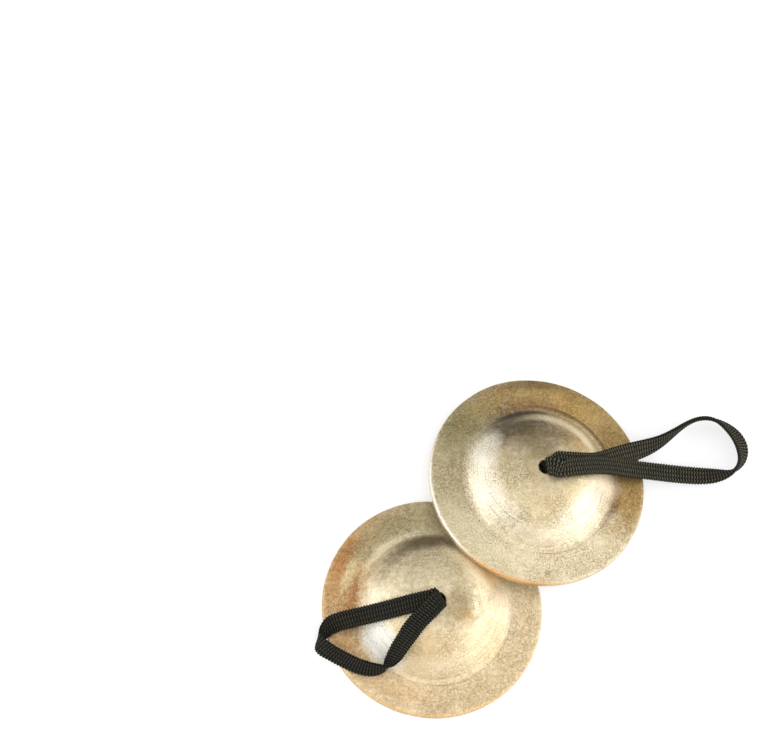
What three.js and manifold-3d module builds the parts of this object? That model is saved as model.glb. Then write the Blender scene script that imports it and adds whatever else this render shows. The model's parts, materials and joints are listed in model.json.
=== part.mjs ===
// A pair of cast bronze finger cymbals with elastic finger straps, one leaning on the other.
// Millimetres, +Z up. The straps' routes are tables of shares of the cymbal's radius.

import * as THREE from 'three';
import { mergeVertices } from 'three/addons/utils/BufferGeometryUtils.js';
import Module from 'manifold-3d';

const wasm = await Module();
wasm.setup();

// Cymbal, the same casting twice
const cymbalDiameter = 60;
const rimThickness = 2;
const rimRound = 0.5;
const landWidth = 2.6;
const flangeRise = 1.2;
const domeDiameter = 40;
const domeHeight = 9.4;
const domePowerShare = 2.8;
const footBlend = 1;
const domeWall = 1.9;
const holeDiameter = 4;
const holeRound = 0.4;

// Elastic strap
const strapWidth = 5;
const strapThickness = 1.1;
const strapEdge = 0.3;
const hubReach = 0.9;
const stiffSpan = 14;
const knotDiameter = 8.8;
const knotHeight = 6;
const tailLength = 8;
const tailRootAngle = THREE.MathUtils.degToRad(-30);

// Gap that touching pieces keep
const seatGap = 0.3;

// How the pair lies
const pairSpacing = 45.3;
const pairDirection = THREE.MathUtils.degToRad(50.3);
const tiltDirection = THREE.MathUtils.degToRad(60.2);
const lowerStrapDirection = THREE.MathUtils.degToRad(211);
const upperStrapDirection = THREE.MathUtils.degToRad(8);
const loopFloorGap = 1.2;
const steepestTilt = THREE.MathUtils.degToRad(30);

// Facets and steps
const aroundSteps = 60;
const roundSteps = 3;
const surfaceSteps = 9;
const footSteps = 4;
const strandSteps = 3;
const hubSides = 16;
const neckSteps = 20;
const knotSides = 24;
const knotSteps = 12;
const tailSteps = 5;
const rimSamples = 360;
const tiltHalvings = 24;
const smoothingPasses = 6;

// Shares of a size named above
const acrossShares = [-1, -0.5, 0, 0.5, 1];
const weldShare = 0.001;
const knotSquareness = 0.8;
const tailDroopShare = 0.8;

// Each strap's route seen from above, as shares of the cymbal's radius to the east and north,
// then quarter turns of roll and layers above the cymbal
const lowerRouteShares = [
  [-0.054, -0.013, 0, 0],
  [-0.122, -0.007, 0, 0],
  [-0.255, -0.038, 0, 0],
  [-0.385, -0.064, 0, 0],
  [-0.512, -0.084, 0, 0],
  [-0.642, -0.105, 0, 0],
  [-0.775, -0.132, 0, 0],
  [-0.894, -0.167, 0, 0],
  [-0.993, -0.212, 0.2, 0],
  [-1.052, -0.26, 1, 0],
  [-1.045, -0.354, 1.5, 0],
  [-0.983, -0.426, 1.65, 0],
  [-0.858, -0.502, 1.65, 0],
  [-0.735, -0.56, 1.6, 0],
  [-0.617, -0.597, 1.5, 0],
  [-0.509, -0.615, 1.3, 0],
  [-0.423, -0.607, 1, 0],
  [-0.384, -0.54, 0.45, 0],
  [-0.336, -0.434, 0.1, 0],
  [-0.268, -0.321, 0, 0.2],
  [-0.2, -0.224, 0, 0.8],
  [-0.131, -0.144, 0, 1],
  [-0.037, -0.042, 0, 1],
];
const upperRouteShares = [
  [0.055, -0.009, 0, 1],
  [0.099, -0.043, 0, 1],
  [0.247, -0.022, 0, 1],
  [0.385, 0.022, 0, 1],
  [0.527, 0.063, 0, 1],
  [0.669, 0.09, 0, 1],
  [0.821, 0.103, 0, 0.8],
  [0.985, 0.114, 0, 0.3],
  [1.142, 0.121, 0, 0],
  [1.292, 0.115, 0, 0],
  [1.44, 0.108, 0, 0],
  [1.586, 0.098, 0.1, 0],
  [1.7, 0.101, 0.25, 0],
  [1.789, 0.116, 0.65, 0],
  [1.858, 0.145, 0.9, 0],
  [1.922, 0.221, 1.25, 0],
  [1.941, 0.321, 1.6, 0],
  [1.926, 0.406, 1.68, 0],
  [1.886, 0.48, 1.66, 0],
  [1.821, 0.547, 1.55, 0],
  [1.746, 0.597, 1.4, 0],
  [1.665, 0.634, 1.24, 0],
  [1.588, 0.647, 1.22, 0],
  [1.485, 0.626, 1.15, 0],
  [1.383, 0.566, 1.05, 0],
  [1.275, 0.477, 0.93, 0],
  [1.184, 0.41, 0.8, 0],
  [1.094, 0.36, 0.65, 0],
  [0.958, 0.302, 0.42, 0],
  [0.826, 0.256, 0.2, 0],
  [0.675, 0.187, 0.05, 0],
  [0.52, 0.111, 0, 0],
  [0.379, 0.066, 0, 0],
  [0.247, 0.053, 0, 0],
  [0.115, 0.042, 0, 0],
  [0.05, 0.024, 0, 0],
];

// Worked out from the sizes above
const cymbalRadius = cymbalDiameter / 2;
const domeRadius = domeDiameter / 2;
const holeRadius = holeDiameter / 2;
const flangeWidth = cymbalRadius - domeRadius;
const landRadius = cymbalRadius - landWidth;
const footHeight = rimThickness + flangeRise;
const hollowRadius = domeRadius - domeWall;
const hollowHeight = rimThickness + domeHeight - domeWall;
const crownHeight = topHeight(holeRadius + holeRound);
const strandPitch = strapThickness + seatGap;
const hubRadius = (strandPitch + strapThickness) / 2;
const hubHeight = crownHeight + seatGap + hubRadius;
const knotTop = underHeight(holeRadius) - seatGap;

// Height of the cymbal's upper surface at a distance from its axis
function topHeight(radius) {
  const flange = rimThickness + flangeRise * (cymbalRadius - radius) / flangeWidth;
  const dome = footHeight + domeHeight * (1 - (radius / domeRadius) ** domePowerShare);
  return (flange + dome + Math.hypot(flange - dome, footBlend)) / 2;
}

// Height of its under surface, which is flat only at the land near the rim
function underHeight(radius) {
  const flange = flangeRise * (landRadius - radius) / (landRadius - hollowRadius);
  const hollow = flangeRise + hollowHeight * (1 - (radius / hollowRadius) ** domePowerShare);
  return (flange + hollow + Math.hypot(flange - hollow, footBlend)) / 2;
}

// Fall of the upper surface per length outwards
function topSlope(radius) {
  return (topHeight(radius) - topHeight(radius + seatGap)) / seatGap;
}

// Even steps from one value to another, both ends included
function spread(from, to, steps) {
  return Array.from({ length: steps + 1 }, (_, step) => from + (to - from) * step / steps);
}

// Points of a quarter round about a centre, from one angle on
function quarterRound(radius, height, size, startAngle) {
  return spread(startAngle, startAngle + Math.PI / 2, roundSteps).map((angle) => new THREE.Vector2(
    radius + size * Math.cos(angle),
    height + size * Math.sin(angle),
  ));
}

// A closed manifold solid from a three.js geometry
function toSolid(geometry) {
  const bare = geometry.clone();
  bare.deleteAttribute('normal');
  bare.deleteAttribute('uv');
  const welded = mergeVertices(bare, seatGap * weldShare);
  return new wasm.Manifold(new wasm.Mesh({
    numProp: 3,
    vertProperties: Float32Array.from(welded.attributes.position.array),
    triVerts: Uint32Array.from(welded.index.array),
  }));
}

// A three.js geometry from a manifold solid
function toGeometry(solid) {
  const result = solid.getMesh();
  const geometry = new THREE.BufferGeometry();
  geometry.setAttribute('position', new THREE.BufferAttribute(result.vertProperties, 3));
  geometry.setIndex(new THREE.BufferAttribute(result.triVerts, 1));
  geometry.computeVertexNormals();
  return geometry;
}

// Profiles are lathed about Y, and the cymbal's axis is Z
function lathe(profile, steps) {
  return new THREE.LatheGeometry(profile, steps).rotateX(Math.PI / 2);
}

// Cymbal: the half section runs out along the underside, round the rim and back over the dome
function cymbalGeometry() {
  const under = [
    ...spread(holeRadius, hollowRadius - footBlend, surfaceSteps),
    ...spread(hollowRadius - footBlend, hollowRadius + footBlend, footSteps).slice(1),
    landRadius - footBlend,
  ];
  const over = [
    landRadius,
    ...spread(domeRadius + 2 * footBlend, domeRadius - 2 * footBlend, footSteps),
    ...spread(domeRadius - 2 * footBlend, holeRadius + holeRound, surfaceSteps).slice(1),
  ];
  const profile = [
    ...under.map((radius) => new THREE.Vector2(radius, underHeight(radius))),
    new THREE.Vector2(landRadius, 0),
    ...quarterRound(cymbalRadius - rimRound, rimRound, rimRound, -Math.PI / 2),
    ...quarterRound(cymbalRadius - rimRound, rimThickness - rimRound, rimRound, 0),
    ...over.map((radius) => new THREE.Vector2(radius, topHeight(radius))),
    ...quarterRound(holeRadius + holeRound, crownHeight - holeRound, holeRound, Math.PI / 2).slice(1),
  ];
  profile.push(profile[0].clone());
  return lathe(profile, aroundSteps);
}

// Route seen from above, with its roll and layer, sampled finely
function routePlan(routeShares) {
  const points = routeShares.map(([east, north]) => (
    new THREE.Vector3(east, north, 0).multiplyScalar(cymbalRadius)
  ));
  const curve = new THREE.CatmullRomCurve3(points, false, 'centripetal');
  const spans = routeShares.length - 1;
  return spread(0, spans, spans * strandSteps).map((place) => {
    const index = Math.min(Math.floor(place), spans - 1);
    const ease = THREE.MathUtils.smoothstep(place - index, 0, 1);
    const tangent = curve.getTangent(place / spans);
    const [, , rollBefore, layerBefore] = routeShares[index];
    const [, , rollAfter, layerAfter] = routeShares[index + 1];
    return {
      point: curve.getPoint(place / spans),
      left: new THREE.Vector3(-tangent.y, tangent.x, 0),
      roll: THREE.MathUtils.lerp(rollBefore, rollAfter, ease) * Math.PI / 2,
      layer: THREE.MathUtils.lerp(layerBefore, layerAfter, ease),
    };
  });
}

// Lowest height at which the strap's middle line clears what lies under it
function clearHeight(station, floorHeight) {
  let lowest = -Infinity;
  for (const share of acrossShares) {
    const reach = share * strapWidth / 2;
    const spot = station.point.clone().addScaledVector(station.left, reach * Math.cos(station.roll));
    const radius = Math.hypot(spot.x, spot.y);
    const lean = Math.cos(station.roll) ** 2 * topSlope(radius);
    const cover = (seatGap + strapThickness / 2) * Math.hypot(1, lean);
    const ground = radius < cymbalRadius + cover
      ? topHeight(Math.min(radius, cymbalRadius)) + cover
      : floorHeight(spot) + loopFloorGap + strapThickness / 2;
    lowest = Math.max(lowest, ground + reach * Math.sin(station.roll));
  }
  return lowest + station.layer * strandPitch;
}

// Distance along the route to each station, as seen from above
function routeDistances(stations) {
  const distances = [0];
  for (let index = 1; index < stations.length; index += 1) {
    distances.push(distances[index - 1] + stations[index].point.distanceTo(stations[index - 1].point));
  }
  return distances;
}

// Fills each dip shorter than the strap's stiff span with a straight line
function bridgeDips(needed, distances) {
  const heights = [...needed];
  for (let start = 0; start < needed.length; start += 1) {
    for (let end = start + 2; distances[end] - distances[start] <= stiffSpan; end += 1) {
      for (let middle = start + 1; middle < end; middle += 1) {
        const share = (distances[middle] - distances[start]) / (distances[end] - distances[start]);
        heights[middle] = Math.max(heights[middle], THREE.MathUtils.lerp(needed[start], needed[end], share));
      }
    }
  }
  return heights;
}

// Sets the height of every station: on the cymbal, straight over its foot and eased at the bends
function layStrap(routeShares, floorHeight) {
  const stations = routePlan(routeShares);
  const last = stations.length - 1;
  const needed = stations.map((station) => clearHeight(station, floorHeight));
  for (const index of [0, last]) {
    needed[index] = hubHeight + (stations[index].layer - 1 / 2) * strandPitch;
  }
  const heights = bridgeDips(needed, routeDistances(stations));
  for (let pass = 0; pass < smoothingPasses; pass += 1) {
    for (let index = 1; index < last; index += 1) {
      heights[index] = Math.max(needed[index], (heights[index - 1] + heights[index + 1]) / 2);
    }
  }
  stations.forEach((station, index) => { station.point.z = heights[index]; });
  return stations;
}

// Direction of travel at one point of a line
function travel(points, index) {
  const before = points[Math.max(index - 1, 0)];
  const after = points[Math.min(index + 1, points.length - 1)];
  return after.clone().sub(before).normalize();
}

// The strap's two edges, each averaged with its neighbours and its ends held
function strapEdges(stations, passes) {
  const points = stations.map((station) => station.point);
  const sides = stations.map((station, index) => {
    const tangent = travel(points, index);
    const up = tangent.clone().cross(station.left).normalize();
    const left = up.clone().cross(tangent);
    return left.multiplyScalar(Math.cos(station.roll)).addScaledVector(up, -Math.sin(station.roll));
  });
  return [-strapWidth / 2, strapWidth / 2].map((reach) => {
    const edge = points.map((point, index) => point.clone().addScaledVector(sides[index], reach));
    for (let pass = 0; pass < passes; pass += 1) {
      for (let index = 1; index < edge.length - 1; index += 1) {
        edge[index].add(edge[index - 1]).add(edge[index + 1]).divideScalar(3);
      }
    }
    return edge;
  });
}

// Outline of the strap cut across, with its corners taken off
function strapSection() {
  const across = strapWidth / 2;
  const half = strapThickness / 2;
  return [
    [-across + strapEdge, -half],
    [across - strapEdge, -half],
    [across, -half + strapEdge],
    [across, half - strapEdge],
    [across - strapEdge, half],
    [-across + strapEdge, half],
    [-across, half - strapEdge],
    [-across, -half + strapEdge],
  ];
}

// Flat strap through stations, each with a point, a level direction to its left and a roll
function ribbonGeometry(stations, passes) {
  const [right, left] = strapEdges(stations, passes);
  const middles = right.map((point, index) => point.clone().lerp(left[index], 1 / 2));
  const section = strapSection();
  const positions = middles.flatMap((middle, index) => {
    const side = left[index].clone().sub(right[index]).normalize();
    const face = travel(middles, index).cross(side).normalize();
    return section.flatMap(([sideways, outward]) => (
      middle.clone().addScaledVector(side, sideways).addScaledVector(face, outward).toArray()
    ));
  });
  const geometry = new THREE.BufferGeometry();
  geometry.setAttribute('position', new THREE.Float32BufferAttribute(positions, 3));
  geometry.setIndex(tubeIndices(middles.length, section.length));
  return geometry;
}

// Triangles of a closed tube of rings, with flat ends
function tubeIndices(rings, sides) {
  const indices = [];
  for (let ring = 0; ring < rings - 1; ring += 1) {
    for (let corner = 0; corner < sides; corner += 1) {
      const here = ring * sides + corner;
      const next = ring * sides + (corner + 1) % sides;
      indices.push(here, next, next + sides, here, next + sides, here + sides);
    }
  }
  const end = (rings - 1) * sides;
  for (let corner = 1; corner < sides - 1; corner += 1) {
    indices.push(0, corner + 1, corner);
    indices.push(end, end + corner, end + corner + 1);
  }
  return indices;
}

// Both strands with the rounded bend over the hole, on which they turn up
function loopGeometry(routeShares, direction, floorHeight) {
  const hub = new THREE.CylinderGeometry(hubRadius, hubRadius, strapWidth, hubSides)
    .rotateZ(direction)
    .translate(hubReach * Math.cos(direction), hubReach * Math.sin(direction), hubHeight);
  const strands = ribbonGeometry(layStrap(routeShares, floorHeight), smoothingPasses);
  return toGeometry(toSolid(strands).add(toSolid(hub)));
}

// Both strands squeezed together in the hole, against the side that they bend to
function neckGeometry(direction) {
  const neckRadius = holeRadius - seatGap;
  const backAngle = Math.acos(-hubReach / neckRadius);
  const outline = new THREE.Shape();
  outline.absarc(0, 0, neckRadius, -backAngle, backAngle, false);
  const bottom = underHeight(holeRadius);
  const depth = crownHeight - bottom;
  return new THREE.ExtrudeGeometry(outline, { depth, bevelEnabled: false, curveSegments: neckSteps })
    .rotateZ(direction)
    .translate(0, 0, bottom);
}

// Point of the knot's rounded outline, from its lower pole to its upper one
function knotOutline(angle) {
  const level = Math.sign(Math.sin(angle)) * Math.abs(Math.sin(angle)) ** knotSquareness;
  return new THREE.Vector2(knotDiameter / 2 * Math.cos(angle) ** knotSquareness, knotHeight / 2 * level);
}

// Knot that holds the strap inside the dome
function knotGeometry() {
  const profile = spread(-Math.PI / 2, Math.PI / 2, knotSteps).map(knotOutline);
  profile[0].x = 0;
  profile[knotSteps].x = 0;
  return lathe(profile, knotSides).translate(0, 0, knotTop - knotHeight / 2);
}

// Cut end of the strap beside the knot, drooping outwards
function tailGeometry(direction) {
  const root = knotOutline(tailRootAngle);
  const rootHeight = knotTop - knotHeight / 2 + root.y;
  const droop = (rootHeight - strapThickness - seatGap) * tailDroopShare;
  const outward = new THREE.Vector3(Math.cos(direction), Math.sin(direction), 0);
  const left = new THREE.Vector3(-outward.y, outward.x, 0);
  const stations = spread(0, 1, tailSteps).map((along) => ({
    point: outward.clone()
      .multiplyScalar(root.x + 2 * seatGap + along * tailLength)
      .setZ(rootHeight - droop * (1 - Math.cos(along * Math.PI / 2))),
    left,
    roll: 0,
  }));
  return ribbonGeometry(stations, 0);
}

const bronze = new THREE.MeshStandardMaterial({ color: 0xb9a67c, roughness: 0.38, metalness: 1 });
const elastic = new THREE.MeshStandardMaterial({ color: 0x2b2b24, roughness: 0.85, metalness: 0 });

function piece(name, geometry, material) {
  const mesh = new THREE.Mesh(geometry, material.clone());
  mesh.name = name;
  return mesh;
}

// One cymbal with its strap, upright about the group's Z axis
function strappedCymbal(side, routeShares, direction, floorHeight) {
  const group = new THREE.Group();
  group.add(
    piece(`${side}_cymbal`, cymbalGeometry(), bronze),
    piece(`${side}_strap_loop`, loopGeometry(routeShares, direction, floorHeight), elastic),
    piece(`${side}_strap_neck`, neckGeometry(direction), elastic),
    piece(`${side}_strap_knot`, knotGeometry(), elastic),
    piece(`${side}_strap_tail_1`, tailGeometry(direction + Math.PI / 2), elastic),
    piece(`${side}_strap_tail_2`, tailGeometry(direction - Math.PI / 2), elastic),
  );
  return group;
}

// Place of the upper cymbal at a tilt, its low edge on the floor
function placeTilted(tilt) {
  const lean = new THREE.Vector3(-Math.sin(tiltDirection), Math.cos(tiltDirection), 0);
  const place = new THREE.Matrix4().makeRotationAxis(lean, tilt);
  return place.setPosition(
    pairSpacing * Math.cos(pairDirection),
    pairSpacing * Math.sin(pairDirection),
    (cymbalRadius - rimRound) * Math.sin(tilt) + rimRound * (1 - Math.cos(tilt)),
  );
}

// Least clearance of the tilted rim above the lower cymbal, beyond the gap that touching pieces keep
function rimClearance(tilt) {
  const place = placeTilted(tilt);
  const rimRadius = cymbalRadius - rimRound;
  let least = Infinity;
  for (const angle of spread(0, 2 * Math.PI, rimSamples)) {
    const rim = new THREE.Vector3(rimRadius * Math.cos(angle), rimRadius * Math.sin(angle), 0);
    rim.applyMatrix4(place);
    const radius = Math.hypot(rim.x, rim.y);
    if (radius < cymbalRadius) {
      least = Math.min(least, rim.z - topHeight(radius) - seatGap * Math.hypot(1, topSlope(radius)));
    }
  }
  return least;
}

// Tilt at which the upper cymbal's high edge rests on the lower one's dome
function restingTilt() {
  let low = 0;
  let high = steepestTilt;
  for (let halving = 0; halving < tiltHalvings; halving += 1) {
    const middle = (low + high) / 2;
    if (rimClearance(middle) < 0) low = middle;
    else high = middle;
  }
  return high;
}

// Both cymbals, the upper one leaning on the lower, centred on the floor
function restingPair() {
  const upperPlace = placeTilted(restingTilt());
  const floor = new THREE.Plane(new THREE.Vector3(0, 0, 1), 0).applyMatrix4(upperPlace.clone().invert());
  const floorUnderUpper = (spot) => -floor.distanceToPoint(spot.clone().setZ(0)) / floor.normal.z;
  const lower = strappedCymbal('lower', lowerRouteShares, lowerStrapDirection, () => 0);
  const upper = strappedCymbal('upper', upperRouteShares, upperStrapDirection, floorUnderUpper);
  upper.applyMatrix4(upperPlace);
  const pair = new THREE.Group();
  pair.add(lower, upper);
  pair.updateMatrixWorld(true);
  const bounds = new THREE.Box3().setFromObject(pair, true);
  const middle = bounds.getCenter(new THREE.Vector3());
  pair.position.set(-middle.x, -middle.y, -bounds.min.z);
  pair.updateMatrixWorld(true);
  return pair;
}

export default restingPair();
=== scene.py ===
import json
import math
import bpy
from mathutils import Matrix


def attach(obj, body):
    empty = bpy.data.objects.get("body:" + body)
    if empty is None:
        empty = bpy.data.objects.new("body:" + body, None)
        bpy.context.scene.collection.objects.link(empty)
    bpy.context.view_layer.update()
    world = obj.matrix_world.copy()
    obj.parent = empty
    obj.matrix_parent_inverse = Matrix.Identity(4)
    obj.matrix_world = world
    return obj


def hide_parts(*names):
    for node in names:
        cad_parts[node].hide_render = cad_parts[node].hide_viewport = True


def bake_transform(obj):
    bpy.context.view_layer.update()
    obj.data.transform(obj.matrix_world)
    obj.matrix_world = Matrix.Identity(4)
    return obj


bl_info = {
    "name": "Finger cymbal pair",
    "version": (1, 0, 0),
    "blender": (4, 5, 0),
    "location": "3D View > Sidebar > Finger cymbals",
    "description": "Two cast and turned bronze finger cymbals with braided elastic finger loops",
    "category": "Object",
}

from collections import namedtuple

import bmesh
import bpy
import numpy as np
from mathutils import Matrix, Vector, noise

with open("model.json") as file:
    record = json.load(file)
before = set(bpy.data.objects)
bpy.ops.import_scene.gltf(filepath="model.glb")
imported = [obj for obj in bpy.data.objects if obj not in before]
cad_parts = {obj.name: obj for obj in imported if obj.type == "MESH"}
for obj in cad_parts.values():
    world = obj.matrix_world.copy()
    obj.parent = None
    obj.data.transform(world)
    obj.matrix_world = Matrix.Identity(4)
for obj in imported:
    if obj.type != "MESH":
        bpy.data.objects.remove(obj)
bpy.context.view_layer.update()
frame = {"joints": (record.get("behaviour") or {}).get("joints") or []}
JOINTS = {joint["name"]: joint for joint in frame["joints"]}
SIDES = ("lower", "upper")

MM = 0.001

# Sizes of a cymbal, in mm, beside those in its settings
HOLE_RADIUS = 2.0
HOLE_ROUND = 0.4
HOLE_CHAMFER = 0.25
RIM_ROUND = 0.5
LAND_WIDTH = 2.6
FLANGE_RISE = 1.2
DOME_WALL = 1.9
DOME_FULLNESS = 2.8

# Where the noise is read for each casting, so that the two differ
CASTING_PLACE = {"lower": (7.3, 1.9, 4.1), "upper": (-3.7, 8.8, 0.6)}

# Height of the hub, where a loop folds up, over the face that its cymbal rests on, in mm
HUB_HEIGHT = JOINTS["lower_strap_raise"]["pos_m"][2] / MM

# Sizes of a strap's knot, cut ends and edges, in mm
KNOT_TOP = 10.38
KNOT_HALF_HEIGHT = 3.0
KNOT_DIAMETER = 8.8
TAIL_LENGTH = 8.0
EDGE_CORDS = 0.2

# How far a stitch runs on along the braid towards the edge of its rib, in stitch pitches
STITCH_SLANT = 0.35

# Direction, from the cymbal's middle, in which the finger loop leaves the hole
STRAP_DIRECTION = {"lower": math.radians(211), "upper": math.radians(8)}

# Where the first and last end of a loop sit in the hole: mm along its direction, and degrees turned from it
HOLE_SEAT = {"lower": ((0.7, -14), (-0.9, -3)), "upper": ((0.5, 0), (1.2, 0))}

# Width, thickness and curl of the strap in the hole, for the end underneath and the end on top of it
UNDER_FIT, TOP_FIT = (0.74, 0.80, 0.62), (0.70, 0.72, 0.45)
HOLE_FIT = {"lower": (UNDER_FIT, TOP_FIT), "upper": (TOP_FIT, UNDER_FIT)}

# The same three outside it, each with the mm of strap over which it changes
FREE_FIT = ((1.0, 1.2, 2.9), (1.0, 2.4, 3.9), (0.0, 0.8, 2.7))

# Middle of the finger loop in its cymbal's own axes, in mm, and the unit vector across its width
LOOP_ROUTE = {
    "lower": (
        (-0.77, 0.27, 13.42, 0.039, -0.999, 0),
        (-2.73, -0.19, 13.38, 0.038, -0.999, 0),
        (-5.40, -0.80, 13.15, 0.108, -0.994, 0),
        (-7.77, -1.32, 12.64, 0.163, -0.987, 0),
        (-10.21, -1.87, 11.82, 0.182, -0.983, 0),
        (-12.78, -2.37, 10.75, 0.178, -0.984, 0),
        (-15.31, -2.83, 9.56, 0.173, -0.985, 0),
        (-17.93, -3.29, 8.41, 0.190, -0.982, 0),
        (-20.54, -3.74, 7.37, 0.220, -0.975, 0),
        (-23.10, -4.21, 6.49, 0.279, -0.960, 0),
        (-25.62, -4.67, 5.45, 0.361, -0.867, -0.343),
        (-27.41, -5.21, 4.70, 0.415, -0.829, -0.375),
        (-28.70, -5.94, 4.30, 0.429, -0.716, -0.551),
        (-29.58, -6.86, 4.05, 0.420, -0.567, -0.709),
        (-30.52, -7.88, 4.00, 0.262, -0.397, -0.880),
        (-31.28, -9.01, 4.10, -0.043, -0.346, -0.937),
        (-31.16, -10.19, 4.30, -0.312, -0.375, -0.873),
        (-30.75, -11.22, 4.60, -0.538, -0.397, -0.743),
        (-29.67, -12.32, 4.90, -0.608, -0.437, -0.662),
        (-27.83, -13.45, 5.00, -0.529, -0.431, -0.731),
        (-25.60, -14.67, 5.00, -0.434, -0.474, -0.767),
        (-23.03, -15.98, 5.10, -0.329, -0.507, -0.797),
        (-20.18, -17.18, 5.30, -0.157, -0.576, -0.802),
        (-17.50, -17.77, 5.50, 0.016, -0.487, -0.873),
        (-15.34, -17.82, 5.80, 0.104, -0.263, -0.959),
        (-13.78, -17.54, 6.30, 0.036, 0.035, -0.999),
        (-13.09, -16.94, 6.90, -0.291, 0.255, -0.922),
        (-12.36, -15.94, 7.50, -0.564, 0.346, -0.750),
        (-11.50, -14.64, 8.50, -0.685, 0.440, -0.581),
        (-10.39, -12.72, 9.80, -0.721, 0.531, -0.445),
        (-8.84, -10.46, 11.26, -0.746, 0.584, -0.319),
        (-7.55, -8.53, 12.39, -0.816, 0.578, 0),
        (-6.05, -6.65, 13.38, -0.802, 0.598, 0),
        (-4.35, -4.89, 14.10, -0.793, 0.610, 0),
        (-1.67, -2.30, 14.75, -0.751, 0.660, 0),
    ),
    "upper": (
        (2.95, -1.50, 14.80, 0.396, 0.918, 0.002),
        (4.96, -1.03, 14.60, 0.061, 0.998, 0.001),
        (7.47, -0.40, 14.15, -0.157, 0.988, 0),
        (10.19, 0.28, 13.32, -0.247, 0.969, 0),
        (12.99, 1.06, 12.11, -0.256, 0.967, 0),
        (15.82, 1.77, 10.63, -0.221, 0.975, 0),
        (18.69, 2.34, 9.05, -0.166, 0.986, 0),
        (21.66, 2.75, 7.50, -0.117, 0.993, 0),
        (24.75, 3.05, 6.07, -0.085, 0.996, 0),
        (27.92, 3.29, 4.84, -0.064, 0.998, 0),
        (31.08, 3.45, 3.85, -0.036, 0.999, 0),
        (34.19, 3.51, 3.10, -0.001, 1.000, 0),
        (37.23, 3.47, 2.61, 0.028, 1.000, -0.001),
        (40.22, 3.36, 2.40, 0.047, 0.999, -0.010),
        (43.17, 3.21, 2.43, 0.058, 0.997, -0.050),
        (45.97, 3.08, 2.64, 0.051, 0.990, -0.133),
        (48.51, 3.04, 2.97, 0.034, 0.962, -0.270),
        (50.72, 3.15, 3.35, 0.029, 0.878, -0.478),
        (52.61, 3.41, 3.73, 0.040, 0.705, -0.708),
        (54.24, 3.91, 4.09, 0.060, 0.468, -0.882),
        (55.67, 4.78, 4.37, 0.137, 0.224, -0.965),
        (56.83, 6.10, 4.58, 0.319, 0.055, -0.946),
        (57.59, 7.76, 4.73, 0.553, 0.019, -0.833),
        (57.88, 9.53, 4.85, 0.721, 0.103, -0.686),
        (57.73, 11.25, 4.97, 0.776, 0.246, -0.581),
        (57.20, 12.85, 5.08, 0.742, 0.393, -0.543),
        (56.33, 14.33, 5.20, 0.649, 0.508, -0.566),
        (55.17, 15.65, 5.32, 0.522, 0.571, -0.634),
        (53.81, 16.81, 5.44, 0.384, 0.572, -0.724),
        (52.32, 17.78, 5.56, 0.262, 0.517, -0.815),
        (50.76, 18.52, 5.64, 0.173, 0.439, -0.882),
        (49.15, 18.98, 5.64, 0.110, 0.376, -0.920),
        (47.41, 19.08, 5.57, 0.061, 0.326, -0.944),
        (45.50, 18.74, 5.43, 0.029, 0.268, -0.963),
        (43.49, 17.92, 5.25, 0.020, 0.191, -0.981),
        (41.43, 16.67, 5.06, 0.040, 0.098, -0.994),
        (39.39, 15.20, 4.90, 0.085, -0.007, -0.996),
        (37.43, 13.76, 4.77, 0.139, -0.126, -0.982),
        (35.54, 12.47, 4.68, 0.180, -0.264, -0.948),
        (33.53, 11.31, 4.68, 0.201, -0.427, -0.882),
        (31.23, 10.21, 4.82, 0.206, -0.606, -0.768),
        (28.70, 9.15, 5.16, 0.219, -0.764, -0.607),
        (26.01, 8.07, 5.75, 0.266, -0.866, -0.423),
        (23.16, 6.87, 6.59, 0.333, -0.908, -0.254),
        (20.19, 5.52, 7.65, 0.378, -0.917, -0.129),
        (17.19, 4.09, 8.88, 0.367, -0.928, -0.054),
        (14.27, 2.98, 10.17, 0.299, -0.954, -0.019),
        (11.48, 2.42, 11.36, 0.203, -0.979, -0.006),
        (8.78, 2.09, 12.29, 0.135, -0.991, -0.002),
        (6.23, 1.86, 12.91, 0.134, -0.991, 0),
        (3.17, 1.49, 13.33, 0.224, -0.975, 0),
    ),
}


# -------------------- settings


class CymbalSettings(bpy.types.PropertyGroup):
    diameter: bpy.props.FloatProperty(
        name="Diameter", description="Across the rim", default=0.06, unit="LENGTH", subtype="DISTANCE")
    dome_diameter: bpy.props.FloatProperty(
        name="Dome diameter", description="Across the foot of the dome", default=0.04,
        unit="LENGTH", subtype="DISTANCE")
    dome_height: bpy.props.FloatProperty(
        name="Dome height", description="Crown above the flange", default=0.0094,
        unit="LENGTH", subtype="DISTANCE")
    rim_thickness: bpy.props.FloatProperty(
        name="Rim thickness", description="Metal at the rim", default=0.002, unit="LENGTH", subtype="DISTANCE")
    foot_blend: bpy.props.FloatProperty(
        name="Foot blend", description="Softness of the corner between dome and flange", default=0.0005,
        unit="LENGTH", subtype="DISTANCE")
    turning_depth: bpy.props.FloatProperty(
        name="Turning depth", description="Height of the rings left by the turning tool", default=0.000003,
        unit="LENGTH", subtype="DISTANCE")
    casting_wave: bpy.props.FloatProperty(
        name="Casting waviness", description="Unevenness of the cast surface", default=0.00006,
        unit="LENGTH", subtype="DISTANCE")
    steps_around: bpy.props.IntProperty(
        name="Steps around", description="Faces round the rim", default=288, min=24)


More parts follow.
